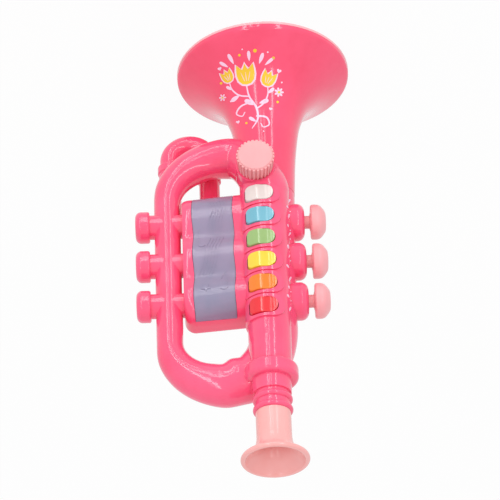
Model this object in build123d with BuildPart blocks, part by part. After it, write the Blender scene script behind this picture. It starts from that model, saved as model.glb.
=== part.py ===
from build123d import *
import os
from math import cos, sin, radians

os.makedirs("parts", exist_ok=True)

# The horn stands on its bell: Z runs from the bell rim to the mouthpiece rim, keys face -Y,
# the piston buttons point to -X and the loop bulges to +X. All lengths are in millimetres.

# Shared sizes
horn_length = 325.0
wall = 2.2
seat_gap = 0.3
slide_gap = 0.3
fit_gap = 0.08
cut_over = 6.0
full_reach = 40.0
edge_soft = 0.6
screw_shank = 3.0
screw_head = 5.6
screw_head_height = 2.2

# Bell
bell_rim_radius = 61.6
bell_side_z = 4.6
bell_throat_top = 49.6
bell_throat_radius = 24.4
bell_end_z = 108.0
bell_end_radius = 18.5
bell_spigot_length = 9.0
bell_spigot_radius = 16.1
bell_flare_shares = ((0.022, 0.984), (0.052, 0.938), (0.098, 0.849), (0.187, 0.688), (0.309, 0.500),
                     (0.453, 0.325), (0.620, 0.177), (0.798, 0.078))
bell_tube_shares = ((0.18, 0.69), (0.45, 0.36), (0.71, 0.17))
grille_z = 104.0
grille_thickness = 1.6
grille_hole = 2.6
grille_rings = ((4.4, 6), (8.8, 12))
rim_ring_height = 2.2
rim_ring_width = 4.2
rim_ring_proud = 0.1
rim_ring_soft = 0.6

# Leadpipe, neck and mouthpiece
pipe_y = -12.0
mouth_x = 3.8
pipe_low_x = 2.9
pipe_low_z = 112.0
pipe_low_radius = 17.0
pipe_high_z = 252.0
pipe_high_radius = 14.2
neck_root_z = 243.4
ring_z = 258.8
ring_height = 11.4
ring_radius = 18.2
ring_soft = 3.2
neck_radius = 14.0
neck_end_radius = 12.9
neck_end_z = 274.0
groove_radius = 11.7
bead_radius = 13.5
bead_section = 2.2
bead_z = (278.6, 286.4)
neck_top_z = 288.4
neck_core_z = 268.0
mouth_tube_radius = 11.8
mouth_spigot_radius = 10.4
mouth_spigot_z = 270.0
mouth_flare_z = 307.0
mouth_rim_radius = 22.9
mouth_lip = 3.6
mouth_flare_shares = ((0.06, 0.30), (0.24, 0.62), (0.47, 0.79), (0.72, 0.91))
mouth_bore = 3.6
mouth_cup_depth = 28.0
mouth_cup_shares = ((0.77, 0.13), (0.54, 0.32), (0.35, 0.60))

# Bell tube inside the shells
tube_low_radius = 18.4
tube_high_z = 214.0
tube_high_radius = 15.7

# Loop: centre line and radius of the oval tube
loop_x = 71.15
loop_radius = 9.1
top_leg_z = 74.0
top_leg_radius = 14.4
top_corner_x = 27.0
top_corner_z = 112.0
elbow_shares = ((0.40, 0.10), (0.72, 0.38), (0.93, 0.72))
low_corner_x = 34.0
low_corner_z = 227.0
low_leg_z = 259.0
low_leg_radius = 15.2
low_elbow_x = 27.0
low_elbow_z = 256.6
low_elbow_radius = 16.2
corner_steps = 6
loop_shares = (0.08, 0.25, 0.5, 0.75, 0.92)
joint_run = 6.0
joint_step = 0.5

# Valves
valve_z = 130.2
valve_pitch = 32.36
valve_count = 3
collar_radius = 13.2
collar_face_x = -24.2
collar_root_x = -6.0
collar_soft = 5.5
stem_radius = 8.6
cap_radius = 11.1
cap_inner_x = 83.4
cap_outer_x = 93.4
cap_soft = 4.0
cap_edge = 1.5
button_travel = 3.0
button_stem_radius = 4.5
button_head_radius = 12.3
button_head_soft = 1.6
button_head_dome = ((-35.2, 0.92), (-37.6, 0.70))
button_head_inner_x = -28.4
button_head_outer_x = -39.2
button_neck_radius = 6.2
button_neck_length = 0.8
button_flange_radius = 7.0
button_flange = 1.6
collar_plate = 3.0
spring_wire = 0.8
spring_radius = 4.6
spring_turns = 6
spring_pin_radius = 3.2
bulkhead_x = -3.2
bulkhead = 1.8

# Window box
box_left_x = 60.8
box_root_x = 12.0
box_left_radius = 15.4
box_root_radius = 20.6
box_root_low_reach = 22.0
box_root_high_reach = 14.3
box_left_low_reach = 18.7
box_left_high_reach = 18.1
box_dip_share = 0.26
box_wave_share = 0.38
box_rear_y = 12.0
box_rear_soft = 5.0
box_end_run = 7.5
box_end_soft = 2.0
box_end_low_drop = 3.0
box_end_high_drop = 9.0
box_end_steps = 3
box_arc_steps = 4
window_left_x = 53.9
window_right_x = 25.3
window_rear_y = -5.0
window_wave = 0.5
window_lip = 1.2
window_lip_width = 1.4

# Keys
key_colours = ("white", "blue", "green", "yellow", "orange", "red")
key_z = 123.4
key_pitch = 18.0
key_height = 11.8
key_left_x = 16.6
key_right_x = -2.6
key_left_soft = 3.2
key_gap = 0.35
key_proud = 1.5
key_travel = 1.5
key_lip = 1.2
key_lip_width = 0.8
key_post_radius = 2.2
key_post_x = 5.0
key_root_y = -16.0
frame_proud = 1.5
frame_height = 17.0
frame_left_x = 19.6
frame_right_x = -7.4
frame_left_soft = 3.0
dish_radius = 26.0
dish_x = 3.6
dish_depth = 1.6

# Knob and its control
knob_x = 8.6
knob_z = 100.1
knob_base_y = -28.2
knob_height = 13.3
knob_top_radius = 13.2
knob_base_radius = 12.1
knob_ribs = 28
knob_rib_cut = 0.7
knob_rib_depth = 1.0
knob_bevel = 1.0
knob_bevel_angle = 28.0
knob_boss_radius = 13.6
knob_boss_y = -27.9
knob_boss_root_y = -14.0
knob_recess_radius = 13.5
knob_bore_depth = 9.0
knob_cavity_radius = 8.6
knob_roof = 2.4
knob_hub_radius = 4.6
shaft_radius = 3.0
control_radius = 7.0
control_length = 4.2
control_y = -24.6
control_bush_radius = 4.4

# Tuning slide at the back
slide_y = 23.0
slide_x = 54.8
slide_half_span = 13.75
slide_bend_z = 59.6
slide_radius = 7.3
slide_wall = 1.8
slide_end_z = 113.0
ferrule_radius = 9.1
ferrule_z = 64.0
ferrule_length = 7.0
ferrule_soft = 1.5
sleeve_radius = 8.3
sleeve_length = 7.0
bracket_length = 8.0
bracket_root_y = 4.0
bracket_root_width = 11.0
bracket_spigot_length = 9.0

# Battery tray, door and cells
cell_radius = 7.1
cell_length = 50.0
cell_pitch = 15.0
cell_nub_radius = 2.6
cell_nub = 1.2
tray_x = 39.6
tray_low_z = 124.5
tray_width = 30.6
tray_length = 60.0
tray_wall = 1.3
tray_floor_y = -4.9
door_thickness = 2.0
door_edge = 2.4
door_tail = 9.0
door_gap = 0.3
door_ridges = 5
door_ridge_pitch = 3.0
door_ridge_width = 1.2
door_ridge_proud = 0.6
door_ridge_length = 14.0
door_screw_length = 7.0
contact_sheet = 0.5
contact_width = 9.0
contact_stub_radius = 2.2

# Boards, lights and speaker
board = 1.6
board_width = 32.0
board_low_z = 122.0
board_high_z = 203.0
chip_size = 9.0
chip_height = 1.5
diode_radius = 2.5
diode_height = 4.2
key_board_y = -15.0
key_board_x = 3.4
key_board_width = 19.0
key_board_low_z = 118.5
key_board_high_z = 223.0
shelf_depth = 3.0
shelf_length = 4.0
mat_sheet = 1.0
mat_margin = 1.5
mat_dome_radius = 3.4
mat_dome_height = 1.4
speaker_radius = 13.6
speaker_frame = 3.2
speaker_magnet_radius = 8.0
speaker_magnet = 5.0
speaker_ring_length = 3.0

# Case screws: places across the back (x, z)
case_screw_places = ((44.0, 77.5), (loop_x, 146.4), (loop_x, 236.0), (40.0, 259.5), (2.0, 232.0))
case_boss_radius = 4.8
case_screw_seat_y = 5.0
case_screw_length = 9.0
screw_gap = 0.3

valve_places = [valve_z + step * valve_pitch for step in range(valve_count)]
key_places = [key_z + step * key_pitch for step in range(len(key_colours))]
pipe_axis = Axis((mouth_x, pipe_y, 0), (0, 0, 1))


# Bell: flare, throat and the spigot that enters the shells
def bell_outline(inset, top_z):
    flare = [(bell_rim_radius - inset, bell_side_z - inset)]
    for rise, share in bell_flare_shares:
        radius = bell_throat_radius + share * (bell_rim_radius - bell_throat_radius)
        flare.append((radius - inset, bell_side_z + rise * (bell_throat_top - bell_side_z) - inset))
    flare.append((bell_throat_radius - inset, bell_throat_top - inset))
    for rise, share in bell_tube_shares:
        radius = bell_end_radius + share * (bell_throat_radius - bell_end_radius)
        flare.append((radius - inset, bell_throat_top + rise * (bell_end_z - bell_throat_top) - inset))
    flare.append((bell_end_radius - inset, top_z))
    return flare


bell_outer = bell_outline(0.0, bell_end_z)
bell_inner = bell_outline(wall, grille_z)
spigot_bore = bell_spigot_radius - wall
spigot_top_z = bell_end_z + bell_spigot_length
with BuildPart() as bell:
    with BuildSketch(Plane.XZ):
        with BuildLine():
            outer = Spline(*bell_outer)
            Polyline(outer @ 1, (bell_spigot_radius, bell_end_z), (bell_spigot_radius, spigot_top_z),
                     (spigot_bore, spigot_top_z), (spigot_bore, grille_z), bell_inner[-1])
            inner = Spline(*bell_inner)
            Polyline(inner @ 0, (bell_inner[0][0], rim_ring_height), (bell_rim_radius, rim_ring_height),
                     outer @ 0)
        make_face()
    revolve(axis=Axis.Z)
    with BuildSketch(Plane.XY.offset(grille_z)):
        Circle(bell_end_radius - wall / 2)
        Circle(grille_hole / 2, mode=Mode.SUBTRACT)
        for ring_reach, hole_count in grille_rings:
            with PolarLocations(ring_reach, hole_count):
                Circle(grille_hole / 2, mode=Mode.SUBTRACT)
    extrude(amount=grille_thickness)
bell.part.label = "bell"
export_step(bell.part, "parts/bell.step")

# Trim ring glued on the rim: the horn stands on its flat face
with BuildPart() as bell_ring:
    with BuildSketch(Plane.XZ):
        with Locations((bell_rim_radius + rim_ring_proud, 0)):
            Rectangle(rim_ring_width, rim_ring_height, align=(Align.MAX, Align.MIN))
    revolve(axis=Axis.Z)
    fillet(bell_ring.edges().group_by(Axis.Z)[0], rim_ring_soft)
bell_ring.part.label = "bell_ring"
export_step(bell_ring.part, "parts/bell_ring.step")

# Envelope of the bell that the shells clear
with BuildPart() as bell_clear:
    with BuildSketch(Plane.XZ):
        with BuildLine():
            clear_points = bell_outline(-seat_gap, bell_end_z + seat_gap)
            clear = Spline(*clear_points[1:])
            Polyline(clear @ 1, (0, bell_end_z + seat_gap), (0, (clear @ 0).Y), clear @ 0)
        make_face()
    revolve(axis=Axis.Z)


# Stations of the loop: place of the centre, radius there. Both ends run a little way into the
# leadpipe and the bell tube, a touch slimmer than they are.
def quarter(centre_x, centre_z, run_x, run_z, start_radius, end_radius, turning_down):
    places = []
    for step in range(corner_steps + 1):
        share = step / corner_steps
        turn = radians(90 * (1 - share) if turning_down else 90 * share)
        places.append((centre_x + run_x * cos(turn), 0, centre_z + run_z * sin(turn),
                       start_radius + share * (end_radius - start_radius)))
    return places


def loop_stations():
    places = [(pipe_low_x, pipe_y, pipe_low_z + joint_run, pipe_low_radius - joint_step),
              (pipe_low_x, pipe_y, pipe_low_z, pipe_low_radius + joint_step / 2)]
    for run, drop in reversed(elbow_shares):
        places.append((top_corner_x + run * (pipe_low_x - top_corner_x), run * run * pipe_y,
                       top_leg_z + drop * (top_corner_z - top_leg_z),
                       top_leg_radius + drop * (pipe_low_radius - top_leg_radius)))
    places += quarter(top_corner_x, top_corner_z, loop_x - top_corner_x, top_leg_z - top_corner_z,
                      top_leg_radius, loop_radius, True)
    for share in loop_shares:
        places.append((loop_x, 0, top_corner_z + share * (low_corner_z - top_corner_z), loop_radius))
    places += quarter(low_corner_x, low_corner_z, loop_x - low_corner_x, low_leg_z - low_corner_z,
                      loop_radius, low_leg_radius, False)
    places += quarter(low_elbow_x, tube_high_z, -low_elbow_x, low_elbow_z - tube_high_z,
                      low_elbow_radius, tube_high_radius + joint_step / 2, True)
    places.append((0, 0, tube_high_z - joint_run, tube_high_radius - joint_step / 2))
    return places


def loop_tube(inset):
    places = loop_stations()
    with BuildPart() as tube:
        for index, (x, y, z, radius) in enumerate(places):
            before = Vector(*places[max(index - 1, 0)][:3])
            after = Vector(*places[min(index + 1, len(places) - 1)][:3])
            heading = (after - before).normalized()
            side = Vector(0, 1, 0) - heading * heading.Y
            with BuildSketch(Plane(origin=(x, y, z), x_dir=side.normalized(), z_dir=heading)):
                Circle(radius - inset)
        loft()
    return tube.part


# Leadpipe: straight tapered pipe that carries the keys
def leadpipe(inset):
    with BuildPart() as pipe:
        with BuildSketch(Plane.XY.offset(pipe_low_z)):
            with Locations((pipe_low_x, pipe_y)):
                Circle(pipe_low_radius - inset)
        with BuildSketch(Plane.XY.offset(pipe_high_z)):
            with Locations((mouth_x, pipe_y)):
                Circle(pipe_high_radius - inset)
        loft()
    return pipe.part


# Bell tube behind the leadpipe
def bell_tube(inset):
    with BuildPart() as tube:
        with BuildSketch(Plane.XY.offset(bell_end_z + seat_gap)):
            Circle(tube_low_radius - inset)
        with BuildSketch(Plane.XY.offset(tube_high_z)):
            Circle(tube_high_radius - inset)
        loft()
    return tube.part


# Window box: wavy front over the three valves, flat back
def box_section(front, low_reach, high_reach, inset):
    first = valve_places[0]
    last = valve_places[-1]
    low = low_reach - inset
    high = high_reach - inset
    crest = front - inset
    dip = front * box_dip_share
    turns = [radians(90 * step / box_arc_steps) for step in range(box_arc_steps)]
    wave = [(first - cos(turn) * low, sin(turn) * crest) for turn in turns] + [(first, crest)]
    for place in valve_places[1:]:
        wave.append((place - 3 * valve_pitch / 4, crest - box_wave_share * dip))
        wave.append((place - valve_pitch / 2, crest - dip))
        wave.append((place - valve_pitch / 4, crest - box_wave_share * dip))
        wave.append((place, crest))
    wave += [(last + cos(turn) * high, sin(turn) * crest) for turn in reversed(turns)]
    rear = -(box_rear_y - inset)
    with BuildLine() as outline:
        Spline(*wave)
        FilletPolyline((last + high, 0), (last + high, rear), (first - low, rear), (first - low, 0),
                       radius=box_rear_soft - inset)
    return outline


def box_loft(stations, inset):
    with BuildPart() as piece:
        for x, front, low_reach, high_reach in stations:
            with BuildSketch(Plane(origin=(x, 0, 0), x_dir=(0, 0, 1), z_dir=(1, 0, 0))):
                add(box_section(front, low_reach, high_reach, inset).line)
                make_face()
        loft()
    return piece.part


# The outer end of the box is rounded, most of all at its mouth side
def window_box(inset, end_inset):
    run_share = (box_left_x - box_end_run - box_root_x) / (box_left_x - box_root_x)
    front = box_root_radius + run_share * (box_left_radius - box_root_radius)
    low_reach = box_root_low_reach + run_share * (box_left_low_reach - box_root_low_reach)
    high_reach = box_root_high_reach + run_share * (box_left_high_reach - box_root_high_reach)
    start_x = box_left_x - box_end_run - end_inset
    rounded = []
    for step in range(box_end_steps + 1):
        turn = radians(90 * step / box_end_steps)
        drop = 1 - cos(turn)
        rounded.append((start_x + box_end_run * sin(turn), front - drop * box_end_soft,
                        low_reach - drop * box_end_low_drop, high_reach - drop * box_end_high_drop))
    with BuildPart() as box:
        add(box_loft([(box_root_x, box_root_radius, box_root_low_reach, box_root_high_reach), rounded[0]], inset))
        add(box_loft(rounded, inset))
    return box.part


# Outline of the window opening, its long edges in step with the waves
def window_outline(outset):
    places = [valve_places[0] + (step - 2) * valve_pitch / 2 for step in range(2 * valve_count + 3)]
    waves = [window_wave * (1 if step % 2 == 0 else -1) for step in range(2 * valve_count + 3)]
    with BuildSketch(Plane.XZ) as outline:
        with BuildLine():
            left = Spline(*[(window_left_x + outset + wave, place) for wave, place in zip(waves, places)])
            right = Spline(*[(window_right_x - outset + wave, place) for wave, place in zip(waves, places)])
            Line(left @ 0, right @ 0)
            Line(left @ 1, right @ 1)
        make_face()
    return outline.sketch


def window_prism(outset, start_y):
    with BuildPart() as prism:
        extrude(window_outline(outset).moved(Location((0, start_y, 0))), amount=full_reach)
    return prism.part


# Neck: collar ring and two beads on the end of the leadpipe
def neck_body(outset):
    core = groove_radius / 2
    with BuildPart() as neck:
        with BuildSketch(Plane.XZ.offset(-pipe_y)):
            with BuildLine():
                Polyline((mouth_x, neck_root_z), (mouth_x + pipe_high_radius + outset, neck_root_z),
                         (mouth_x + neck_radius + outset, ring_z), (mouth_x + neck_end_radius + outset, neck_end_z),
                         (mouth_x + groove_radius + outset, neck_end_z),
                         (mouth_x + groove_radius + outset, neck_top_z), (mouth_x, neck_top_z),
                         (mouth_x, neck_root_z))
            make_face()
            with Locations((mouth_x + core, ring_z)):
                RectangleRounded(ring_radius + outset - core, ring_height + 2 * outset, ring_soft,
                                 align=(Align.MIN, Align.CENTER))
            for place in bead_z:
                with Locations((mouth_x + bead_radius - bead_section, place)):
                    Circle(bead_section + outset)
        revolve(axis=pipe_axis)
    return neck.part


# Raised frames round the keys, as one outline per key
def key_outline(place, left, right, height, left_soft, outset):
    top = height / 2 + outset
    with BuildSketch(Plane.XZ) as outline:
        with Locations(((left + right + top) / 2, place)):
            Rectangle(left - right - top + 2 * outset, 2 * top)
        fillet(outline.vertices().group_by(Axis.X)[-1], left_soft)
        with Locations((right + height / 2, place)):
            Circle(top)
    return outline.sketch


# Outer skin of both shells together
with BuildPart() as frames:
    for place in key_places:
        extrude(key_outline(place, frame_left_x, frame_right_x, frame_height, frame_left_soft, 0.0),
                amount=full_reach)
    add(leadpipe(-frame_proud), mode=Mode.INTERSECT)
with BuildPart() as skin:
    add(loop_tube(0.0))
    add(bell_tube(0.0))
    add(leadpipe(0.0))
    add(window_box(0.0, 0.0))
    add(frames.part)
    with BuildSketch(Plane.XZ.offset(-knob_boss_root_y)):
        with Locations((knob_x, knob_z)):
            Circle(knob_boss_radius)
    extrude(amount=knob_boss_root_y - knob_boss_y)
    add(bell_clear.part, mode=Mode.SUBTRACT)
    for place in valve_places:
        with BuildSketch(Plane.YZ.offset(collar_face_x)):
            with Locations((0, place)):
                Circle(collar_radius)
        extrude(amount=collar_root_x - collar_face_x)
        with BuildSketch(Plane.YZ.offset(box_left_x - wall)):
            with Locations((0, place)):
                Circle(stem_radius)
        extrude(amount=cap_inner_x + cap_soft - box_left_x)
        with BuildSketch(Plane.YZ.offset(cap_inner_x)):
            with Locations((0, place)):
                Circle(cap_radius)
        extrude(amount=cap_outer_x - cap_inner_x)
    fillet(skin.edges().filter_by(GeomType.CIRCLE).group_by(Axis.X)[0], collar_soft)
    fillet(skin.faces().filter_by(GeomType.PLANE).group_by(Axis.X)[-1].edges(), cap_soft)
    fillet(skin.edges().filter_by(GeomType.CIRCLE).filter_by_position(
        Axis.X, cap_inner_x - fit_gap, cap_inner_x + fit_gap).group_by(SortBy.RADIUS)[-1], cap_edge)

# Bosses for the case screws, grown from both walls
with BuildPart() as bosses:
    for x, z in case_screw_places:
        with BuildSketch(Plane.XZ):
            with Locations((x, z)):
                Circle(case_boss_radius)
        extrude(amount=full_reach, both=True)
    add(skin.part, mode=Mode.INTERSECT)

# Cross wall behind the valve springs and shelves under the key board
with BuildPart() as ribs:
    with Locations((bulkhead_x, -spring_radius - spring_wire, spigot_top_z + seat_gap)):
        Box(bulkhead, 2 * tube_low_radius, valve_places[-1] + valve_pitch / 2 - spigot_top_z,
            align=(Align.CENTER, Align.MIN, Align.MIN))
    add(bell_tube(wall - edge_soft), mode=Mode.INTERSECT)
with BuildPart() as shelves:
    for z in (key_board_low_z, key_board_high_z - shelf_length):
        with Locations((mouth_x, key_board_y + board, z)):
            Box(2 * pipe_low_radius, shelf_depth, shelf_length, align=(Align.CENTER, Align.MIN, Align.MIN))
    add(leadpipe(wall - edge_soft), mode=Mode.INTERSECT)

# Both shells as one hollow body, with every opening
with BuildPart() as body:
    add(skin.part)
    add(loop_tube(wall), mode=Mode.SUBTRACT)
    add(bell_tube(wall), mode=Mode.SUBTRACT)
    add(leadpipe(wall), mode=Mode.SUBTRACT)
    add(window_box(wall, wall), mode=Mode.SUBTRACT)
    for place in valve_places:
        with BuildSketch(Plane.YZ.offset(collar_face_x + collar_plate)):
            with Locations((0, place)):
                Circle(collar_radius - wall)
        extrude(amount=collar_root_x - collar_face_x - collar_plate, mode=Mode.SUBTRACT)
        with BuildSketch(Plane.YZ.offset(collar_face_x)):
            with Locations((0, place)):
                Circle(button_stem_radius + slide_gap)
        extrude(amount=collar_plate, both=True, mode=Mode.SUBTRACT)
        with BuildSketch(Plane.YZ.offset(box_left_x - 2 * wall)):
            with Locations((0, place)):
                Circle(stem_radius - wall)
        extrude(amount=cap_outer_x - box_left_x + wall, mode=Mode.SUBTRACT)
    with BuildSketch(Plane.XY.offset(bell_end_z)):
        Circle(bell_spigot_radius + fit_gap)
    extrude(amount=bell_spigot_length + seat_gap, mode=Mode.SUBTRACT)
    add(shelves.part)
    add(bosses.part)
    for start_y, amount, radius in ((knob_boss_y, cut_over, knob_recess_radius),
                                    (control_y, cut_over, control_bush_radius + fit_gap),
                                    (control_y, -control_length - cut_over, control_radius + seat_gap)):
        with BuildSketch(Plane.XZ.offset(-start_y)):
            with Locations((knob_x, knob_z)):
                Circle(radius)
        extrude(amount=amount, mode=Mode.SUBTRACT)
    for place in key_places:
        extrude(key_outline(place, key_left_x, key_right_x, key_height, key_left_soft, key_gap),
                amount=full_reach, mode=Mode.SUBTRACT)
    add(window_prism(0.0, window_rear_y), mode=Mode.SUBTRACT)
    for x, z in case_screw_places:
        with BuildSketch(Plane.XZ.offset(-case_screw_seat_y)):
            with Locations((x, z)):
                Circle(screw_shank / 2 + fit_gap)
        extrude(amount=case_screw_length + wall, mode=Mode.SUBTRACT)
        with BuildSketch(Plane.XZ.offset(-case_screw_seat_y)):
            with Locations((x, z)):
                Circle(screw_head / 2 + screw_gap)
        extrude(amount=-full_reach, mode=Mode.SUBTRACT)

# Front shell with the neck; the mouthpiece bore runs through a web into the leadpipe
with BuildPart() as front_shell:
    add(body.part)
    split(bisect_by=Plane.XZ, keep=Keep.TOP)
    add(neck_body(0.0))
    for low, high, radius in ((neck_root_z - wall, neck_core_z - wall, pipe_high_radius - wall),
                              (neck_core_z - 2 * wall, neck_core_z, mouth_bore),
                              (neck_core_z, horn_length, mouth_spigot_radius + fit_gap)):
        with BuildSketch(Plane.XY.offset(low)):
            with Locations((mouth_x, pipe_y)):
                Circle(radius)
        extrude(amount=high - low, mode=Mode.SUBTRACT)
front_shell.part.label = "front_shell"
export_step(front_shell.part, "parts/front_shell.step")

# Rear shell with the battery tray, the door seat and the tuning slide brackets
tray_high_z = tray_low_z + tray_length
door_low_z = tray_low_z - door_edge
door_high_z = tray_high_z + door_tail
door_mid_z = (door_low_z + door_high_z) / 2
door_width = tray_width + 2 * door_edge
door_length = door_high_z - door_low_z
door_seat_y = box_rear_y - door_thickness
door_screw_z = tray_high_z + tray_wall + (door_tail - tray_wall) / 2
with BuildPart() as rear_shell:
    add(body.part)
    split(bisect_by=Plane.XZ, keep=Keep.BOTTOM)
    add(ribs.part)
    add(neck_body(fit_gap), mode=Mode.SUBTRACT)
    for x, root_y in ((slide_x - slide_half_span, box_rear_y - wall / 2), (slide_x + slide_half_span, bracket_root_y)):
        with BuildSketch(Plane.XY.offset(slide_end_z)):
            with Locations((x, slide_y)):
                Circle(slide_radius)
            with Locations((x, root_y)):
                Rectangle(bracket_root_width, slide_y - root_y, align=(Align.CENTER, Align.MIN))
        extrude(amount=bracket_length)
        with BuildSketch(Plane.XY.offset(slide_end_z)):
            with Locations((x, slide_y)):
                Circle(slide_radius - slide_wall - fit_gap)
        extrude(amount=-bracket_spigot_length)
    with Locations((tray_x, box_rear_y, door_mid_z)):
        Box(door_width + 2 * door_gap, 2 * wall + edge_soft, door_length + 2 * door_gap, mode=Mode.SUBTRACT)
    with Locations((tray_x, door_seat_y, door_mid_z)):
        Box(door_width + 2 * wall, wall, door_length + 2 * wall, align=(Align.CENTER, Align.MAX, Align.CENTER))
    with Locations((tray_x, tray_floor_y - tray_wall, (tray_low_z + tray_high_z) / 2)):
        Box(tray_width + 2 * tray_wall, door_seat_y - tray_floor_y, tray_length + 2 * tray_wall,
            align=(Align.CENTER, Align.MIN, Align.CENTER))
    with Locations((tray_x, tray_floor_y, (tray_low_z + tray_high_z) / 2)):
        Box(tray_width, full_reach, tray_length, align=(Align.CENTER, Align.MIN, Align.CENTER),
            mode=Mode.SUBTRACT)
    with BuildSketch(Plane.XZ.offset(-door_seat_y)):
        with Locations((tray_x, door_screw_z)):
            Circle(case_boss_radius - wall / 2)
    extrude(amount=door_screw_length + wall)
    with BuildSketch(Plane.XZ.offset(-door_seat_y)):
        with Locations((tray_x, door_screw_z)):
            Circle(screw_shank / 2 + fit_gap)
    extrude(amount=door_screw_length, mode=Mode.SUBTRACT)
rear_shell.part.label = "rear_shell"
export_step(rear_shell.part, "parts/rear_shell.step")

# Mouthpiece: spigot, tube, flared rim and a funnel cup
def flare_points(run_start, run_end, shares):
    return [(run_start[0] + across * (run_end[0] - run_start[0]), run_start[1] + along * (run_end[1] - run_start[1]))
            for across, along in shares]


lip_radius = mouth_lip / 2
lip_x = mouth_x + mouth_rim_radius - lip_radius
lip_z = horn_length - lip_radius
lip_slant = lip_radius * cos(radians(45))
mouth_flare_start = (mouth_x + mouth_tube_radius, mouth_flare_z)
mouth_flare_end = (lip_x + lip_slant, lip_z - lip_slant)
mouth_cup_start = (lip_x - lip_slant, lip_z + lip_slant)
mouth_cup_end = (mouth_x + mouth_bore, horn_length - mouth_cup_depth)
mouth_seat_z = neck_top_z + seat_gap
with BuildPart() as mouthpiece:
    with BuildSketch(Plane.XZ.offset(-pipe_y)):
        with BuildLine():
            Polyline((mouth_x + mouth_bore, mouth_spigot_z), (mouth_x + mouth_spigot_radius, mouth_spigot_z),
                     (mouth_x + mouth_spigot_radius, mouth_seat_z), (mouth_x + mouth_tube_radius, mouth_seat_z),
                     mouth_flare_start)
            Spline(mouth_flare_start, *flare_points(mouth_flare_start, mouth_flare_end, mouth_flare_shares),
                   mouth_flare_end)
            ThreePointArc(mouth_flare_end, (lip_x + lip_slant, lip_z + lip_slant), mouth_cup_start)
            Spline(mouth_cup_start, *[(mouth_x + share * mouth_rim_radius, horn_length - drop * mouth_cup_depth)
                                      for share, drop in mouth_cup_shares], mouth_cup_end)
            Line(mouth_cup_end, (mouth_x + mouth_bore, mouth_spigot_z))
        make_face()
    revolve(axis=pipe_axis)
mouthpiece.part.label = "mouthpiece"
export_step(mouthpiece.part, "parts/mouthpiece.step")

# Light window: wavy clear cover with a lip behind the opening
window_lip_inset = wall + slide_gap
with BuildPart() as window_flange:
    add(window_box(window_lip_inset, window_lip_inset))
    add(window_prism(window_lip_width, window_rear_y), mode=Mode.INTERSECT)
with BuildPart() as light_window:
    add(window_box(0.0, 0.0))
    add(window_prism(-slide_gap, window_rear_y - slide_gap), mode=Mode.INTERSECT)
    add(window_flange.part)
    add(window_box(wall + window_lip, wall + window_lip), mode=Mode.SUBTRACT)
light_window.part.label = "light_window"
export_step(light_window.part, "parts/light_window.step")

# Keys: curved slabs with a lip under the frame, a post for the contact mat and a finger dish
key_under = wall + seat_gap + key_lip
key_top = frame_proud + key_proud
mat_face_y = key_board_y - mat_sheet - mat_dome_height
key_post_y = mat_face_y - key_travel - slide_gap
for place, colour in zip(key_places, key_colours):
    share = (place - pipe_low_z) / (pipe_high_z - pipe_low_z)
    front_y = pipe_y - key_top - pipe_low_radius - share * (pipe_high_radius - pipe_low_radius)
    with BuildPart() as lip:
        extrude(key_outline(place, key_left_x, key_right_x, key_height, key_left_soft, key_lip_width).moved(
            Location((0, key_root_y, 0))), amount=full_reach)
        add(leadpipe(wall + seat_gap), mode=Mode.INTERSECT)
    with BuildPart() as key:
        extrude(key_outline(place, key_left_x, key_right_x, key_height, key_left_soft, 0.0).moved(
            Location((0, key_root_y, 0))), amount=full_reach)
        add(leadpipe(-key_top), mode=Mode.INTERSECT)
        fillet(key.faces().sort_by(Axis.Y)[0].edges(), edge_soft)
        with Locations((dish_x, front_y - dish_radius + dish_depth, place)):
            Cylinder(dish_radius, 2 * key_height, mode=Mode.SUBTRACT)
        add(lip.part)
        add(leadpipe(key_under), mode=Mode.SUBTRACT)
        with BuildSketch(Plane.XZ.offset(-key_post_y)):
            with Locations((key_post_x, place)):
                Circle(key_post_radius)
        extrude(amount=key_post_y - front_y - key_top - wall)
    key.part.label = "key_" + colour
    export_step(key.part, "parts/key_" + colour + ".step")

# Knob: ribbed cap that widens to its flat top, hub on a round shaft
def knob_outline(y, radius):
    with BuildSketch(Plane.XZ.offset(-y)) as outline:
        with Locations((knob_x, knob_z)):
            Circle(radius)
            with PolarLocations(radius - knob_rib_depth + knob_rib_cut, knob_ribs):
                Circle(knob_rib_cut, mode=Mode.SUBTRACT)
    return outline.sketch


knob_top_y = knob_base_y - knob_height
with BuildPart() as knob:
    add(knob_outline(knob_base_y, knob_base_radius))
    add(knob_outline(knob_top_y + knob_bevel, knob_top_radius))
    loft()
    with BuildSketch(Plane.XZ.offset(-(knob_top_y + knob_bevel))):
        with Locations((knob_x, knob_z)):
            Circle(knob_top_radius - knob_rib_depth)
    extrude(amount=knob_bevel, taper=knob_bevel_angle)
    with BuildSketch(Plane.XZ.offset(-knob_base_y)):
        with Locations((knob_x, knob_z)):
            Circle(knob_cavity_radius)
            Circle(knob_hub_radius, mode=Mode.SUBTRACT)
    extrude(amount=knob_height - knob_roof, mode=Mode.SUBTRACT)
    with BuildSketch(Plane.XZ.offset(-knob_base_y)):
        with Locations((knob_x, knob_z)):
            Circle(shaft_radius)
    extrude(amount=knob_bore_depth, mode=Mode.SUBTRACT)
knob.part.label = "knob"
export_step(knob.part, "parts/knob.step")


# Round bar along Y at the knob, used for the shaft and the control under it
def knob_bar(start_y, end_y, radius):
    with BuildPart() as bar:
        with BuildSketch(Plane.XZ.offset(-start_y)):
            with Locations((knob_x, knob_z)):
                Circle(radius)
        extrude(amount=start_y - end_y)
    return bar.part


control_back_y = control_y + control_length
with BuildPart() as volume_control:
    add(knob_bar(control_back_y, control_y, control_radius))
    add(knob_bar(control_y, knob_base_y + edge_soft, control_bush_radius))
    add(knob_bar(control_back_y - control_length / 2, knob_base_y, shaft_radius + fit_gap), mode=Mode.SUBTRACT)
volume_control.part.label = "volume_control"
export_step(volume_control.part, "parts/volume_control.step")

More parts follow.
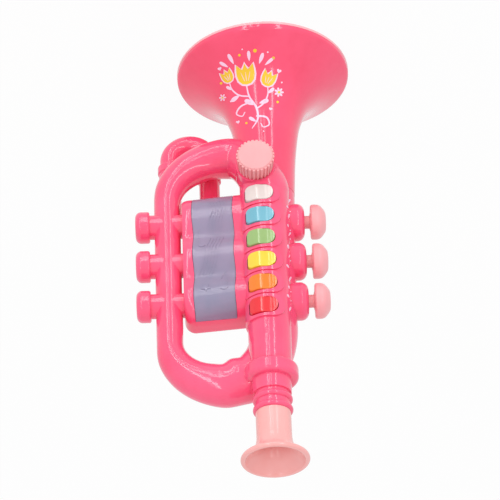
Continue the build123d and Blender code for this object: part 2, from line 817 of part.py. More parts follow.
with BuildPart() as volume_shaft:
    add(knob_bar(control_back_y - control_length / 2, knob_base_y - knob_bore_depth, shaft_radius))
volume_shaft.part.label = "volume_shaft"
export_step(volume_shaft.part, "parts/volume_shaft.step")

# Piston buttons and their springs
flange_outer_x = collar_face_x + collar_plate
flange_inner_x = flange_outer_x + button_flange
spring_seat_x = bulkhead_x - bulkhead / 2
pin_end_x = spring_seat_x - button_travel - slide_gap
for number, place in enumerate(valve_places, start=1):
    with BuildPart() as button:
        with BuildSketch(Plane.XY.offset(place)):
            with BuildLine():
                Polyline((pin_end_x, 0), (pin_end_x, spring_pin_radius), (flange_inner_x, spring_pin_radius),
                         (flange_inner_x, button_flange_radius), (flange_outer_x, button_flange_radius),
                         (flange_outer_x, button_stem_radius),
                         (button_head_inner_x + button_neck_length, button_stem_radius),
                         (button_head_inner_x + button_neck_length / 2, button_neck_radius),
                         (button_head_inner_x, button_neck_radius),
                         (button_head_inner_x, button_head_radius - button_head_soft))
                ThreePointArc((button_head_inner_x, button_head_radius - button_head_soft),
                              (button_head_inner_x - button_head_soft * (1 - cos(radians(45))),
                               button_head_radius - button_head_soft * (1 - cos(radians(45)))),
                              (button_head_inner_x - button_head_soft, button_head_radius))
                Spline((button_head_inner_x - button_head_soft, button_head_radius),
                       *[(x, share * button_head_radius) for x, share in button_head_dome],
                       (button_head_outer_x, 0), tangents=[(-1, 0), (0, -1)])
                Line((button_head_outer_x, 0), (pin_end_x, 0))
            make_face()
        revolve(axis=Axis((0, 0, place), (1, 0, 0)))
    button.part.label = "valve_button_" + str(number)
    export_step(button.part, "parts/valve_button_" + str(number) + ".step")

    spring_start_x = flange_inner_x + spring_wire / 2
    spring_length = spring_seat_x - flange_inner_x - spring_wire
    with BuildPart() as spring:
        with BuildLine() as coil:
            Helix(spring_length / spring_turns, spring_length, spring_radius,
                  center=(spring_start_x, 0, place), direction=(1, 0, 0))
        with BuildSketch(Plane(origin=coil.line @ 0, z_dir=coil.line % 0)):
            Circle(spring_wire / 2)
        sweep()
    spring.part.label = "valve_spring_" + str(number)
    export_step(spring.part, "parts/valve_spring_" + str(number) + ".step")


# Tuning slide: bent tube with a bead and a sleeve on each leg
slide_left_x = slide_x + slide_half_span
slide_right_x = slide_x - slide_half_span
with BuildPart() as tuning_slide:
    with BuildLine() as bend:
        Line((slide_right_x, slide_y, slide_end_z), (slide_right_x, slide_y, slide_bend_z))
        ThreePointArc((slide_right_x, slide_y, slide_bend_z), (slide_x, slide_y, slide_bend_z - slide_half_span),
                      (slide_left_x, slide_y, slide_bend_z))
        Line((slide_left_x, slide_y, slide_bend_z), (slide_left_x, slide_y, slide_end_z))
    with BuildSketch(Plane(origin=(slide_right_x, slide_y, slide_end_z), z_dir=(0, 0, -1))):
        Circle(slide_radius)
        Circle(slide_radius - slide_wall, mode=Mode.SUBTRACT)
    sweep()
    for x in (slide_right_x, slide_left_x):
        with BuildSketch(Plane.XY.offset(ferrule_z)):
            with Locations((x, slide_y)):
                Circle(ferrule_radius)
                Circle(slide_radius - slide_wall / 2, mode=Mode.SUBTRACT)
        extrude(amount=ferrule_length)
    fillet(tuning_slide.edges().filter_by(GeomType.CIRCLE).filter_by(
        lambda edge: abs(edge.radius - ferrule_radius) < fit_gap), ferrule_soft)
    for x in (slide_right_x, slide_left_x):
        with BuildSketch(Plane.XY.offset(ferrule_z + ferrule_length / 2)):
            with Locations((x, slide_y)):
                Circle(sleeve_radius)
                Circle(slide_radius - slide_wall / 2, mode=Mode.SUBTRACT)
        extrude(amount=ferrule_length / 2 + sleeve_length)
tuning_slide.part.label = "tuning_slide"
export_step(tuning_slide.part, "parts/tuning_slide.step")

# Battery door with its grip ridges and captive screw
with BuildPart() as battery_door:
    with Locations((tray_x, door_seat_y, door_mid_z)):
        Box(door_width, door_thickness, door_length, align=(Align.CENTER, Align.MIN, Align.CENTER))
    fillet(battery_door.edges().filter_by(Axis.Y), edge_soft)
    with Locations((tray_x, box_rear_y, door_low_z + door_length / 4)):
        for step in range(door_ridges):
            with Locations((0, 0, step * door_ridge_pitch)):
                Box(door_ridge_length, door_ridge_proud, door_ridge_width,
                    align=(Align.CENTER, Align.MIN, Align.CENTER))
    with BuildSketch(Plane.XZ.offset(-box_rear_y)):
        with Locations((tray_x, door_screw_z)):
            Circle(screw_head / 2 + screw_gap)
    extrude(amount=screw_head_height / 2, mode=Mode.SUBTRACT)
    with BuildSketch(Plane.XZ.offset(-box_rear_y)):
        with Locations((tray_x, door_screw_z)):
            Circle(screw_shank / 2 + screw_gap)
    extrude(amount=door_thickness, mode=Mode.SUBTRACT)
battery_door.part.label = "battery_door"
export_step(battery_door.part, "parts/battery_door.step")


# Screw along Y: head towards the back, slotted
def screw(x, seat_y, z, shank_length):
    with BuildPart() as fixing:
        with BuildSketch(Plane.XZ.offset(-seat_y)):
            with Locations((x, z)):
                Circle(screw_shank / 2)
        extrude(amount=shank_length)
        with BuildSketch(Plane.XZ.offset(-seat_y)):
            with Locations((x, z)):
                Circle(screw_head / 2)
        extrude(amount=-screw_head_height)
        with Locations((x, seat_y + screw_head_height, z)):
            Box(screw_head - 2 * edge_soft, screw_head_height, edge_soft, mode=Mode.SUBTRACT)
            Box(edge_soft, screw_head_height, screw_head - 2 * edge_soft, mode=Mode.SUBTRACT)
    return fixing.part


door_screw_seat_y = box_rear_y - screw_head_height / 2
with BuildPart() as door_screw:
    add(screw(tray_x, door_screw_seat_y, door_screw_z, door_screw_length))
door_screw.part.label = "door_screw"
export_step(door_screw.part, "parts/door_screw.step")

with BuildPart() as case_screws:
    for x, z in case_screw_places:
        add(screw(x, case_screw_seat_y, z, case_screw_length))
case_screws.part.label = "case_screws"
export_step(case_screws.part, "parts/case_screws.step")

# Cells side by side, nubs at opposite ends
cell_y = tray_floor_y + cell_radius + seat_gap
cell_low_z = (tray_low_z + tray_high_z - cell_length) / 2
with BuildPart() as battery_cells:
    for x, nub_z in ((tray_x - cell_pitch / 2, cell_low_z + cell_length), (tray_x + cell_pitch / 2, cell_low_z - cell_nub)):
        with BuildSketch(Plane.XY.offset(cell_low_z)):
            with Locations((x, cell_y)):
                Circle(cell_radius)
        extrude(amount=cell_length)
        with BuildSketch(Plane.XY.offset(nub_z)):
            with Locations((x, cell_y)):
                Circle(cell_nub_radius)
        extrude(amount=cell_nub)
battery_cells.part.label = "battery_cells"
export_step(battery_cells.part, "parts/battery_cells.step")

# Contacts: one bridge at the top, two tabs at the bottom, each with a stub to its cell
with BuildPart() as battery_contacts:
    with Locations((tray_x, cell_y, tray_high_z - contact_sheet)):
        Box(cell_pitch + contact_width, contact_width, contact_sheet, align=(Align.CENTER, Align.CENTER, Align.MIN))
    for x in (tray_x - cell_pitch / 2, tray_x + cell_pitch / 2):
        with Locations((x, cell_y, tray_low_z)):
            Box(contact_width, contact_width, contact_sheet, align=(Align.CENTER, Align.CENTER, Align.MIN))
    for x, low, high in ((tray_x - cell_pitch / 2, cell_low_z + cell_length + cell_nub, tray_high_z - contact_sheet),
                         (tray_x + cell_pitch / 2, cell_low_z + cell_length, tray_high_z - contact_sheet),
                         (tray_x - cell_pitch / 2, tray_low_z + contact_sheet, cell_low_z),
                         (tray_x + cell_pitch / 2, tray_low_z + contact_sheet, cell_low_z - cell_nub)):
        with BuildSketch(Plane.XY.offset(low)):
            with Locations((x, cell_y)):
                Circle(contact_stub_radius)
        extrude(amount=high - low)
battery_contacts.part.label = "battery_contacts"
export_step(battery_contacts.part, "parts/battery_contacts.step")

# Main board on the tray floor, its chips and the three lights
board_face_y = tray_floor_y - tray_wall - board
with BuildPart() as circuit_board:
    with Locations((tray_x, board_face_y, board_low_z)):
        Box(board_width, board, board_high_z - board_low_z, align=(Align.CENTER, Align.MIN, Align.MIN))
circuit_board.part.label = "circuit_board"
export_step(circuit_board.part, "parts/circuit_board.step")

with BuildPart() as board_chips:
    with Locations(*[(tray_x - chip_size, board_face_y, place) for place in valve_places[:2]]):
        Box(chip_size, chip_height, chip_size, align=(Align.CENTER, Align.MAX, Align.CENTER))
board_chips.part.label = "board_chips"
export_step(board_chips.part, "parts/board_chips.step")

with BuildPart() as light_diodes:
    for place in valve_places:
        with BuildSketch(Plane.XZ.offset(-board_face_y)):
            with Locations((tray_x + chip_size / 2, place)):
                Circle(diode_radius)
        extrude(amount=diode_height)
    fillet(light_diodes.edges().group_by(Axis.Y)[0], diode_radius - edge_soft)
light_diodes.part.label = "light_diodes"
export_step(light_diodes.part, "parts/light_diodes.step")

# Key board and the rubber contact mat on it
with BuildPart() as key_board:
    with Locations((key_board_x, key_board_y, key_board_low_z)):
        Box(key_board_width, board, key_board_high_z - key_board_low_z, align=(Align.CENTER, Align.MIN, Align.MIN))
key_board.part.label = "key_board"
export_step(key_board.part, "parts/key_board.step")

with BuildPart() as key_mat:
    with Locations((key_board_x, key_board_y, key_board_low_z + mat_margin)):
        Box(key_board_width - 2 * mat_margin, mat_sheet, key_board_high_z - key_board_low_z - 2 * mat_margin,
            align=(Align.CENTER, Align.MAX, Align.MIN))
    with BuildSketch(Plane.XZ.offset(mat_sheet - key_board_y)):
        with Locations(*[(key_post_x, place) for place in key_places]):
            Circle(mat_dome_radius)
    extrude(amount=mat_dome_height)
key_mat.part.label = "key_mat"
export_step(key_mat.part, "parts/key_mat.step")

# Speaker behind the grille in the bell and the ring that holds it
speaker_z = grille_z + grille_thickness
with BuildPart() as speaker:
    with BuildSketch(Plane.XY.offset(speaker_z)):
        Circle(speaker_radius)
    extrude(amount=speaker_frame)
    with BuildSketch(Plane.XY.offset(speaker_z + speaker_frame)):
        Circle(speaker_magnet_radius)
    extrude(amount=speaker_magnet)
speaker.part.label = "speaker"
export_step(speaker.part, "parts/speaker.step")

with BuildPart() as speaker_ring:
    with BuildSketch(Plane.XY.offset(speaker_z + speaker_frame)):
        Circle(spigot_bore - fit_gap)
        Circle(speaker_radius - wall, mode=Mode.SUBTRACT)
    extrude(amount=speaker_ring_length)
speaker_ring.part.label = "speaker_ring"
export_step(speaker_ring.part, "parts/speaker_ring.step")
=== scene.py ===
import math

import bmesh
import bpy
from mathutils import Matrix, Vector
from mathutils.bvhtree import BVHTree


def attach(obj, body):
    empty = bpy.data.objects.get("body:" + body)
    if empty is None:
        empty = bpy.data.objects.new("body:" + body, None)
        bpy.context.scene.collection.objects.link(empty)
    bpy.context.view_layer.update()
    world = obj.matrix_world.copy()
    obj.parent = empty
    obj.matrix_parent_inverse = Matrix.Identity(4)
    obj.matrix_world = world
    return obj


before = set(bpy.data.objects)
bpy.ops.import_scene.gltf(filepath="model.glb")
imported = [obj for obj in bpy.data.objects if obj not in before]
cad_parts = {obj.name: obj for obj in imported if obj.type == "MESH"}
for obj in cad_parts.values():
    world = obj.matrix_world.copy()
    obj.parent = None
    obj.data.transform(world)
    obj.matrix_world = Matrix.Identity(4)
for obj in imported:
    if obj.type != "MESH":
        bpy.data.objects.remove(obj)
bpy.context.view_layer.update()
mm = 0.001

# Bell: one blow of glossy pink plastic, trimmed at the rim and pushed into the two shells by its
# spigot. The moulding leaves faint flow marks, the handling leaves fine scuffs.
BELL_PINK = (252, 78, 118)
BELL_SHADE = (244, 64, 104)


class Wire:
    """A shader socket that can be used in sums and products."""

    def __init__(self, tree, socket):
        self.tree = tree
        self.socket = socket

    def node(self, kind, settings, sockets, out=0):
        made = self.tree.nodes.new("ShaderNode" + kind)
        for name, value in settings.items():
            if name == "stops":
                for stop, (place, colour) in zip(made.color_ramp.elements, value):
                    stop.position = place
                    stop.color = (*colour, 1)
            else:
                setattr(made, name, value)
        for name, value in sockets.items():
            if isinstance(value, Wire):
                self.tree.links.new(value.socket, made.inputs[name])
            else:
                made.inputs[name].default_value = value
        return Wire(self.tree, made.outputs[out])

    def sum(self, operation, first, second):
        return self.node("Math", {"operation": operation}, {0: first, 1: second})

    def __add__(self, other):
        return self.sum("ADD", self, other)

    __radd__ = __add__

    def __sub__(self, other):
        return self.sum("SUBTRACT", self, other)

    def __rsub__(self, other):
        return self.sum("SUBTRACT", other, self)

    def __mul__(self, other):
        return self.sum("MULTIPLY", self, other)

    __rmul__ = __mul__

    def stretch(self, amounts):
        return self.node("VectorMath", {"operation": "MULTIPLY"}, {0: self, 1: amounts})

    def ramp(self, low, high):
        return self.node("MapRange", {"interpolation_type": "SMOOTHSTEP"},
                         {"Value": self, "From Min": low, "From Max": high})

    def tint(self, first, second):
        return self.node("Mix", {"data_type": "RGBA"}, {0: self, 6: first, 7: second}, out=2)

    def noise(self, scale, detail=2.0):
        return self.node("TexNoise", {}, {"Vector": self, "Scale": scale, "Detail": detail})


def plain(colour):
    """8-bit colour to the linear one that a shader takes."""
    return tuple((c / 255 / 12.92) if c <= 10 else ((c / 255 + 0.055) / 1.055) ** 2.4 for c in colour) + (1,)


def moulded(name, colour, shade, roughness=0.15, coat=0.5, grain=0.02, scuff=0.10):
    """Injection-moulded plastic: drifting colour, faint flow marks, fine scuffs and dulled patches."""
    material = bpy.data.materials.new(name)
    material.use_nodes = True
    tree = material.node_tree
    shader = tree.nodes["Principled BSDF"]
    place = Wire(tree, tree.nodes.new("ShaderNodeTexCoord").outputs["Object"])
    drift = place.noise(28.0, 3.0)
    flow = place.stretch((1.0, 1.0, 0.25)).noise(150.0, 4.0)
    dull = place.noise(75.0, 5.0)
    lengthwise = place.stretch((1.0, 1.0, 0.04)).noise(1900.0, 2.0).ramp(0.66, 0.74)
    crosswise = place.stretch((0.05, 1.0, 1.0)).noise(2300.0, 2.0).ramp(0.68, 0.76)
    scuffs = (lengthwise + crosswise) * dull.ramp(0.45, 0.7)
    tone = drift.ramp(0.3, 0.75) * 0.7 + flow.ramp(0.35, 0.8) * 0.3
    base = tone.tint(plain(colour), plain(shade))
    gloss = roughness + 0.06 * (dull - 0.5) + scuff * scuffs
    fine = place.noise(1400.0, 3.0) * grain + flow * (2 * grain) - scuffs * grain
    bump = place.node("Bump", {}, {"Strength": 0.25, "Distance": 0.3 * mm, "Height": fine})
    for wire, socket in ((base, "Base Color"), (gloss, "Roughness"), (bump, "Normal")):
        tree.links.new(wire.socket, shader.inputs[socket])
    shader.inputs["Coat Weight"].default_value = coat
    shader.inputs["Coat Roughness"].default_value = 0.05
    shader.inputs["IOR"].default_value = 1.5
    return material


def finish_node(name, material):
    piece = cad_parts[name]
    piece.data.materials.clear()
    piece.data.materials.append(material)
    return piece


bell_plastic = moulded("bell_plastic", BELL_PINK, BELL_SHADE)
finish_node("bell", bell_plastic)

# Trim ring glued on the rim of the bell, pale pink like the mouthpiece's plastic: its pale colour is a
# painted highlight along the rolled edge of the rim.
RIM_HIGHLIGHT_PINK = (250, 184, 190)
RIM_HIGHLIGHT_SHADE = (245, 170, 178)
finish_node("bell_ring", moulded("rim_highlight_plastic", RIM_HIGHLIGHT_PINK, RIM_HIGHLIGHT_SHADE, roughness=0.3, coat=0.15))


# Printed flower spray on the front of the bell: pad-printed ink, a tenth of a millimetre thick,
# lilac-white under yellow. It is drawn flat, seen from the front and above, and laid on the bell.
INK_WHITE = (250, 214, 236)
INK_SHADE = (244, 200, 226)
INK_YELLOW = (246, 206, 44)
INK_GOLD = (238, 192, 30)
INK_LIFT = 0.10
INK_ROOT = -0.12


def carrier(*names):
    """The outer faces of these nodes, ready for rays."""
    points, faces = [], []
    for name in names:
        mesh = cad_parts[name].data
        start = len(points)
        points += [vertex.co.copy() for vertex in mesh.vertices]
        faces += [[start + index for index in face.vertices] for face in mesh.polygons]
    return BVHTree.FromPolygons(points, faces)


class Stencil:
    """Flat shapes in millimetres, laid as thin closed ink or relief on the pieces under them."""

    def __init__(self):
        self.points = []
        self.faces = []

    def blob(self, outline, lift=0.0):
        centre = sum((Vector(point) for point in outline), Vector((0, 0))) / len(outline)
        rings = 5
        count = len(outline)
        first = len(self.points)
        for ring in range(1, rings + 1):
            for point in outline:
                place = centre + (Vector(point) - centre) * (ring / rings)
                self.points.append((place.x, place.y, lift))
        self.points.append((centre.x, centre.y, lift))
        for index in range(count):
            after = (index + 1) % count
            self.faces.append((first + count * rings, first + index, first + after))
            for ring in range(rings - 1):
                low = first + ring * count
                self.faces.append((low + index, low + count + index, low + count + after, low + after))

    def stroke(self, route, widths, lift=0.0):
        """A brush line through these points, its width running evenly through the given ones."""
        points = [Vector(point) for point in route]
        ends = [2 * points[0] - points[1]] + points + [2 * points[-1] - points[-2]]
        run = []
        for index in range(len(points) - 1):
            before, here, there, after = ends[index:index + 4]
            for step in range(8):
                t = step / 8
                run.append(0.5 * (2 * here + (there - before) * t
                                  + (2 * before - 5 * here + 4 * there - after) * t * t
                                  + (3 * here - before - 3 * there + after) * t * t * t))
        run.append(points[-1])
        first = len(self.points)
        for index, place in enumerate(run):
            heading = (run[min(index + 1, len(run) - 1)] - run[max(index - 1, 0)]).normalized()
            side = Vector((-heading.y, heading.x))
            where = index / (len(run) - 1) * (len(widths) - 1)
            low = min(int(where), len(widths) - 2)
            width = widths[low] + (where - low) * (widths[low + 1] - widths[low])
            for share in (-0.5, 0, 0.5):
                spot = place + side * (width * share)
                self.points.append((spot.x, spot.y, lift))
        for index in range(len(run) - 1):
            for lane in range(2):
                low = first + 3 * index + lane
                self.faces.append((low, low + 3, low + 4, low + 1))

    def ring(self, place, radius, width):
        first = len(self.points)
        for step in range(28):
            turn = math.tau * step / 28
            for reach in (radius - width / 2, radius, radius + width / 2):
                self.points.append((place[0] + reach * math.cos(turn),
                                    place[1] + reach * math.sin(turn), 0.0))
        for step in range(28):
            low, after = first + 3 * step, first + 3 * ((step + 1) % 28)
            self.faces.append((low, low + 1, after + 1, after))
            self.faces.append((low + 1, low + 2, after + 2, after + 1))

    def lay(self, name, onto, origin, right, up, ahead, lift, root, material, body):
        """Rays from the drawing plane find the surface; top and bottom follow it and are closed."""
        mesh = bmesh.new()
        tops, roots = [], []
        for across, along, extra in self.points:
            place = (origin + right * across + up * along) * mm
            hit, normal, _, _ = onto.ray_cast(place - ahead * 0.4, ahead)
            if hit is None:
                hit, normal = place, -ahead
            if normal.dot(ahead) > 0:
                normal = -normal
            tops.append(mesh.verts.new(hit + normal * (lift + extra) * mm))
            roots.append(mesh.verts.new(hit + normal * root * mm))
        rims = {}
        for face in self.faces:
            mesh.faces.new([tops[index] for index in face])
            mesh.faces.new([roots[index] for index in reversed(face)])
            for index, here in enumerate(face):
                there = face[(index + 1) % len(face)]
                if (there, here) in rims:
                    del rims[(there, here)]
                else:
                    rims[(here, there)] = True
        for here, there in rims:
            mesh.faces.new((tops[here], roots[here], roots[there], tops[there]))
        bmesh.ops.recalc_face_normals(mesh, faces=mesh.faces)
        data = bpy.data.meshes.new(name)
        mesh.to_mesh(data)
        mesh.free()
        data.materials.append(material)
        piece = bpy.data.objects.new(name, data)
        bpy.context.scene.collection.objects.link(piece)
        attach(piece, body)
        return piece


def turned(points, place, angle, size=1.0):
    angle = math.radians(angle)
    return [(place[0] + size * (x * math.cos(angle) - y * math.sin(angle)),
             place[1] + size * (x * math.sin(angle) + y * math.cos(angle))) for x, y in points]


def dot(place, radius):
    return [(place[0] + radius * math.cos(math.tau * step / 16),
             place[1] + radius * math.sin(math.tau * step / 16)) for step in range(16)]


def leaf(place, angle, length, width):
    points = []
    for step in range(24):
        t = math.tau * step / 24
        points.append((length * (1 - math.cos(t)) / 2,
                       width * 0.62 * math.sin(t) * ((1 - math.cos(t)) / 2 + 0.08) ** 0.45))
    return turned(points, place, angle)


def heart(place, angle, size):
    points = []
    for step in range(28):
        t = math.tau * step / 28
        points.append((size * 0.058 * 16 * math.sin(t) ** 3 * 0.5,
                       size * 0.029 * (13 * math.cos(t) - 5 * math.cos(2 * t) - 2 * math.cos(3 * t)
                                       - math.cos(4 * t))))
    return turned(points, place, angle)


def tulip(place, angle, size, grow=0.0):
    """Cup with three points, as one outline round its middle."""
    half = [(0, -0.95), (0.42, -0.86), (0.74, -0.52), (0.86, -0.05), (0.86, 0.42), (0.80, 0.98),
            (0.56, 0.62), (0.30, 0.44), (0.14, 0.72), (0, 1.06)]
    whole = half + [(-x, y) for x, y in reversed(half[1:-1])]
    if grow:
        whole = [(x * (1 + grow / math.hypot(x, y)), y * (1 + grow / math.hypot(x, y))) for x, y in whole]
    return turned(whole, place, angle, size)


def daisy(place, size, petals, angle=0.0):
    for step in range(petals):
        yield leaf(place, angle + 360 * step / petals, size, size * 0.42)


white_ink = Stencil()
yellow_ink = Stencil()
white_ink.stroke([(1, -29), (5, -22), (4, -14), (-1, -6), (-3, 2)], [0.5, 1.3, 1.5, 1.2, 0.8])
white_ink.stroke([(4, -15), (9, -11), (12, -5), (12, 1)], [1.0, 1.1, 0.6])
white_ink.stroke([(-1, -6), (-8, -5), (-13, -1), (-15, 4)], [0.9, 1.1, 0.5])
white_ink.stroke([(4, -20), (11, -21), (13, -26), (9, -28), (7, -25)], [1.4, 1.3, 1.0, 0.8, 0.7])
white_ink.stroke([(0, -10), (-7, -13), (-10, -18), (-6, -20), (-4, -17)], [0.9, 1.2, 1.0, 0.7, 0.6])
TULIPS = (((-3.5, 9.5), 8, 7.4), ((12.5, 6.5), -22, 5.6), ((-16.5, 8.5), 28, 4.6))
for place, angle, size in TULIPS:
    white_ink.blob(tulip(place, angle, size, 0.17))
    yellow_ink.blob(tulip(place, angle, size), 0.04)
for place, angle, size in TULIPS:
    for across in (-0.34, 0, 0.34):
        vein = turned([(across * 0.5, -0.62), (across * 0.9, -0.2), (across * 1.3, 0.24)], place, angle, size)
        white_ink.stroke(vein, [0.28, 0.42, 0.2], 0.09)
for place, angle, length, width in (((3, -12), 155, 8, 3.4), ((6, -11), 20, 7, 3.0), ((-8, -5), 215, 7, 3.0),
                                    ((4, -24), 150, 6, 2.4), ((12, -4), 40, 6, 2.4), ((-13, -1), 150, 5, 2.0),
                                    ((6, 17), 70, 8, 2.6), ((10, 16), 40, 8, 2.2), ((-12, 17), 120, 8, 2.6),
                                    ((-16, 15), 150, 7, 2.2), ((-1, 19), 95, 7, 2.4)):
    white_ink.blob(leaf(place, angle, length, width))
for petal in daisy((20, -3), 3.4, 7):
    white_ink.blob(petal)
yellow_ink.blob(dot((20, -3), 0.9), 0.06)
for petal in daisy((-20, -6), 2.6, 6):
    white_ink.blob(petal)
yellow_ink.blob(dot((-20, -6), 0.7), 0.06)
for place, angle, size in (((20, 12), -20, 3.6), ((-22, 14), 20, 3.0), ((-9, -24), 12, 2.8),
                           ((14, -15), -15, 2.6)):
    white_ink.blob(heart(place, angle, size))
for place, radius in (((3, 26), 1.3), ((-8, 23), 0.9), ((16, 21), 1.0), ((-21, 4), 0.9), ((19, -10), 0.9),
                      ((-3, -25), 0.8)):
    yellow_ink.blob(dot(place, radius))
for place, radius in (((22, 4), 0.6), ((-14, -9), 0.6), ((9, -31), 0.5), ((-6, 27), 0.5), ((12, 25), 0.6)):
    white_ink.blob(dot(place, radius))

# The camera's directions, which the drawing plane of the print shares
print_origin = Vector((9.9, -60.0, 54.0))
photo_right = Vector((-0.99932407, 0.00922693, 0.03558948))
photo_up = Vector((-0.03486284, -0.54496769, -0.83788691))
photo_ahead = Vector((-0.01166096, 0.83856131, -0.54492102))
white_paint = moulded("white_ink", INK_WHITE, INK_SHADE, roughness=0.3, coat=0.1, grain=0.01)
yellow_paint = moulded("yellow_ink", INK_YELLOW, INK_GOLD, roughness=0.3, coat=0.1, grain=0.01)
bell_skin = carrier("bell")
for stencil, name, paint in ((white_ink, "bell_print_white", white_paint),
                             (yellow_ink, "bell_print_yellow", yellow_paint)):
    stencil.lay(name, bell_skin, print_origin, photo_right, photo_up, photo_ahead, INK_LIFT, INK_ROOT,
                        paint, "horn")

# Shells, tuning slide and battery door: glossy pink plastic, moulded. Five screws from behind join
# the shells, the slide's legs sit in brackets of the rear one, and one screw holds the door.
SHELL_PINK = (253, 90, 132)
SHELL_SHADE = (247, 74, 117)
shell_plastic = moulded("shell_plastic", SHELL_PINK, SHELL_SHADE)
for name in ("front_shell", "rear_shell", "tuning_slide", "battery_door"):
    finish_node(name, shell_plastic)

# Mouthpiece: pale pink plastic, moulded in one piece and pushed into the neck by its spigot.
MOUTH_PINK = (249, 180, 177)
MOUTH_SHADE = (245, 166, 162)
finish_node("mouthpiece", moulded("mouth_plastic", MOUTH_PINK, MOUTH_SHADE, roughness=0.24, coat=0.3))

# Piston buttons and knob: pale pink satin plastic. Each button slides in its collar against a
# spring, and the knob is pressed on the shaft of the volume control.
BUTTON_PINK = (248, 172, 176)
BUTTON_SHADE = (243, 158, 164)
button_plastic = moulded("button_plastic", BUTTON_PINK, BUTTON_SHADE, roughness=0.34, coat=0.1)
for number in (1, 2, 3):
    finish_node("valve_button_%d" % number, button_plastic)
KNOB_PINK = (246, 176, 178)
KNOB_SHADE = (240, 163, 166)
finish_node("knob", moulded("knob_plastic", KNOB_PINK, KNOB_SHADE, roughness=0.42, coat=0.05))

# Keys: glossy plastic, one colour each. They are held behind their openings by a lip and rest on
# the key mat.
KEY_COLOURS = {"white": ((232, 219, 214), (222, 208, 203)), "blue": ((120, 186, 205), (104, 172, 194)),
               "green": ((158, 190, 120), (144, 178, 106)), "yellow": ((250, 218, 70), (246, 206, 48)),
               "orange": ((250, 132, 24), (245, 120, 14)), "red": ((238, 42, 52), (228, 30, 42))}
for colour, (bright, shade) in KEY_COLOURS.items():
    finish_node("key_" + colour, moulded("key_%s_plastic" % colour, bright, shade, roughness=0.16, coat=0.4))

# Light window: lilac tinted plastic that lets some light through, snapped in behind the opening.
# The mould gives it raised staff lines, a note and a star.
WINDOW_LILAC = (172, 156, 186)
WINDOW_SHADE = (152, 150, 178)
window_plastic = moulded("window_plastic", WINDOW_LILAC, WINDOW_SHADE, roughness=0.18, coat=0.3)
window_plastic.node_tree.nodes["Principled BSDF"].inputs["Alpha"].default_value = 0.78
finish_node("light_window", window_plastic)
relief = Stencil()
for lane in range(5):
    across = 2.2 * (lane - 2)
    relief.stroke([(across + 3, 42), (across + 4.5, 34), (across + 1.5, 24), (across + 2.5, 13),
                   (across - 1, 3), (across - 2.5, -7), (across - 6, -16)], [0.5, 0.6, 0.6, 0.5])
relief.stroke([(8, -14), (8.5, -22), (8, -29)], [0.7, 0.7])
relief.stroke([(8, -14), (5.5, -17), (4.8, -21)], [1.3, 0.6])
relief.blob([(6.2 + 2.5 * math.cos(math.tau * step / 20), -30 + 1.9 * math.sin(math.tau * step / 20))
             for step in range(20)], 0.1)
relief.blob([(-6 + (3.6 if step % 2 else 1.6) * math.sin(math.tau * step / 10),
              -29 + (3.6 if step % 2 else 1.6) * math.cos(math.tau * step / 10)) for step in range(10)], 0.1)
relief.blob([(-8 + 2.3 * math.cos(math.tau * step / 20), 6 + 1.7 * math.sin(math.tau * step / 20))
             for step in range(20)], 0.1)
relief.stroke([(-10, 6), (-10.3, 14), (-10, 20)], [0.7, 0.7])
relief.lay("window_relief", carrier("light_window"), Vector((39.6, -60.0, 162.5)), Vector((-1, 0, 0)),
                   Vector((0, 0, -1)), Vector((0, 1, 0)), 0.35, -0.3, window_plastic, "horn")

# Marks that the mould's gates leave on the shells: a fine ring round a dot.
gates = Stencil()
for place in ((72.6, 163.1), (5.4, 226.3)):
    gates.ring(place, 1.5, 0.35)
    gates.blob(dot(place, 0.4))
gates.lay("gate_marks", carrier("front_shell"), Vector((0, -60.0, 0)), Vector((1, 0, 0)),
                  Vector((0, 0, 1)), Vector((0, 1, 0)), 0.12, -0.1, shell_plastic, "horn")

# Small white print along the side of the leadpipe: leaves and dots in one row.
side_print = Stencil()
for along, angle, length in ((38, 64, 3.0), (34, 118, 2.4), (27, 80, 3.4), (21, 110, 2.2), (15, 60, 2.8),
                             (6, 104, 3.2), (0, 72, 2.2), (-7, 122, 3.0), (-16, 66, 3.4), (-21, 96, 2.2),
                             (-27, 120, 2.8), (-36, 70, 3.2)):
    side_print.blob(leaf((-0.4, along), angle, length, 0.4 * length))
    if length < 2.9:
        side_print.blob(dot((0.8, along - 2.1), 0.4))
side_print.lay("side_print", carrier("front_shell"), Vector((-12.1, -14.0, 168.0)), photo_right,
                       photo_up, photo_ahead, 0.08, -0.12, white_paint, "horn")

# Inner pieces: plated springs, screws and contacts, a black volume control, speaker and chips,
# lacquered boards, wrapped cells, clear diodes and a silicone mat.
metal = moulded("zinc", (176, 178, 184), (150, 152, 160), roughness=0.32, coat=0.0)
metal.node_tree.nodes["Principled BSDF"].inputs["Metallic"].default_value = 1.0
for name in ("valve_spring_1", "valve_spring_2", "valve_spring_3", "case_screws", "door_screw",
             "battery_contacts"):
    finish_node(name, metal)
dark = moulded("black_plastic", (44, 44, 48), (34, 34, 38), roughness=0.5, coat=0.0)
for name in ("volume_control", "volume_shaft", "speaker", "speaker_ring", "board_chips"):
    finish_node(name, dark)
board = moulded("board_lacquer", (122, 142, 166), (108, 128, 154), roughness=0.4, coat=0.2)
for name in ("circuit_board", "key_board"):
    finish_node(name, board)
finish_node("battery_cells", moulded("cell_wrap", (64, 120, 150), (56, 108, 138), roughness=0.35))
finish_node("light_diodes", moulded("diode_epoxy", (236, 238, 242), (228, 230, 236), roughness=0.1))
finish_node("key_mat", moulded("mat_rubber", (168, 168, 170), (156, 156, 160), roughness=0.6, coat=0.0))

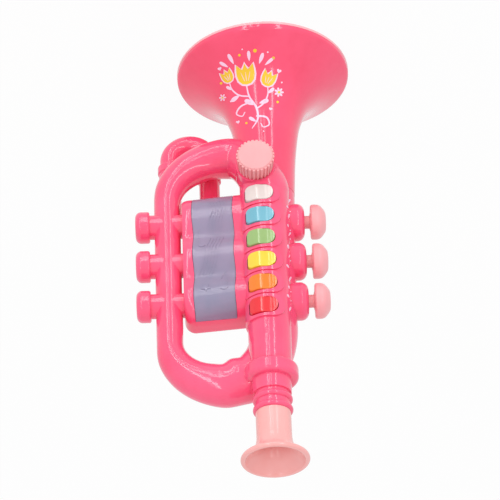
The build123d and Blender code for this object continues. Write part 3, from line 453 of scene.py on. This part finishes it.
# Floor: matt and pale, a little under the rim. The camera sees most of it as white.
floor_mesh = bpy.data.meshes.new("floor")
reach = 6.0
floor_mesh.from_pydata([(-reach, -reach, 0), (reach, -reach, 0), (reach, reach, 0), (-reach, reach, 0)], [],
                       [(0, 1, 2, 3)])
floor = bpy.data.objects.new("floor", floor_mesh)
bpy.context.scene.collection.objects.link(floor)
floor.location.z = -0.2 * mm
floor.visible_glossy = False
floor.visible_shadow = False
floor_paint = bpy.data.materials.new("floor_paint")
floor_paint.use_nodes = True
tree = floor_paint.node_tree
tree.nodes.remove(tree.nodes["Principled BSDF"])
start = Wire(tree, tree.nodes.new("ShaderNodeLightPath").outputs["Is Camera Ray"])
matt = start.node("BsdfDiffuse", {}, {"Color": (0.86, 0.86, 0.86, 1)})
bright = start.node("Emission", {}, {"Color": (1, 1, 1, 1), "Strength": 1.0})
mixed = start.node("MixShader", {}, {0: start * 0.94, 1: matt, 2: bright})
tree.links.new(mixed.socket, tree.nodes["Material Output"].inputs["Surface"])
floor_mesh.materials.append(floor_paint)

# World: even white light, a little stronger where the camera looks straight at it.
WORLD_LEVEL = 0.85
CAMERA_EXTRA = 0.15
world = bpy.data.worlds.new("studio")
bpy.context.scene.world = world
world.use_nodes = True
tree = world.node_tree
camera_ray = Wire(tree, tree.nodes.new("ShaderNodeLightPath").outputs["Is Camera Ray"])
level = camera_ray * CAMERA_EXTRA + WORLD_LEVEL
tree.links.new(level.socket, tree.nodes["Background"].inputs["Strength"])
tree.nodes["Background"].inputs["Color"].default_value = (1, 1, 1, 1)


# Lamps: two soft boxes beside the camera and four narrow panes whose reflections run down the bell.
LAMP_DISTANCE = 1.5
BOX_AZIMUTH = 22.0
BOX_LOW = -1.5
BOX_HIGH = 1.7
BOX_WIDTH = 0.11
BOX_WATTS = 6.5
PANE_LOW = -1.95
PANE_HIGH = -0.2
PANE_WATTS_PER_WIDTH = 26


def strip(name, azimuth, distance, low, high, width, watts):
    """A tall soft box beside the camera, turned to the horn."""
    light = bpy.data.lights.new(name, "AREA")
    light.shape = "RECTANGLE"
    light.size = width
    light.size_y = high - low
    light.energy = watts
    lamp = bpy.data.objects.new(name, light)
    bpy.context.scene.collection.objects.link(lamp)
    angle = math.radians(azimuth)
    lamp.location = (-distance * math.sin(angle), -distance * math.cos(angle), (low + high) / 2)
    facing = Vector((-lamp.location.x, -lamp.location.y, 0)).normalized()
    side = Vector((0, 0, 1)).cross(-facing)
    lamp.matrix_world = Matrix((
        (side.x, 0, -facing.x, lamp.location.x),
        (side.y, 0, -facing.y, lamp.location.y),
        (side.z, 1, -facing.z, lamp.location.z),
        (0, 0, 0, 1)))
    return lamp


strip("left_box", -BOX_AZIMUTH, LAMP_DISTANCE, BOX_LOW, BOX_HIGH, BOX_WIDTH, BOX_WATTS)
strip("right_box", BOX_AZIMUTH, LAMP_DISTANCE, BOX_LOW, BOX_HIGH, BOX_WIDTH, BOX_WATTS)
PANES = ((-14.3, 0.030), (-13.3, 0.020), (-12.4, 0.015), (-4.3, 0.060))
for number, (azimuth, width) in enumerate(PANES, start=1):
    watts = PANE_WATTS_PER_WIDTH * width
    strip("pane_%d" % number, azimuth, LAMP_DISTANCE, PANE_LOW, PANE_HIGH, width, watts)

# Camera: where the photographer stood, looking down at the horn from the front.
CAMERA_PLACE = Vector((36.217, -1566.653, 1169.507))
camera = bpy.data.cameras.new("camera")
camera.sensor_width = 36.0
camera.lens = 194.443
camera_object = bpy.data.objects.new("camera", camera)
bpy.context.scene.collection.objects.link(camera_object)
bpy.context.scene.camera = camera_object
camera_object.matrix_world = Matrix((
    (photo_right.x, photo_up.x, -photo_ahead.x, CAMERA_PLACE.x * mm),
    (photo_right.y, photo_up.y, -photo_ahead.y, CAMERA_PLACE.y * mm),
    (photo_right.z, photo_up.z, -photo_ahead.z, CAMERA_PLACE.z * mm),
    (0, 0, 0, 1)))
camera.clip_end = 20.0

bpy.context.scene.view_settings.view_transform = "Standard"
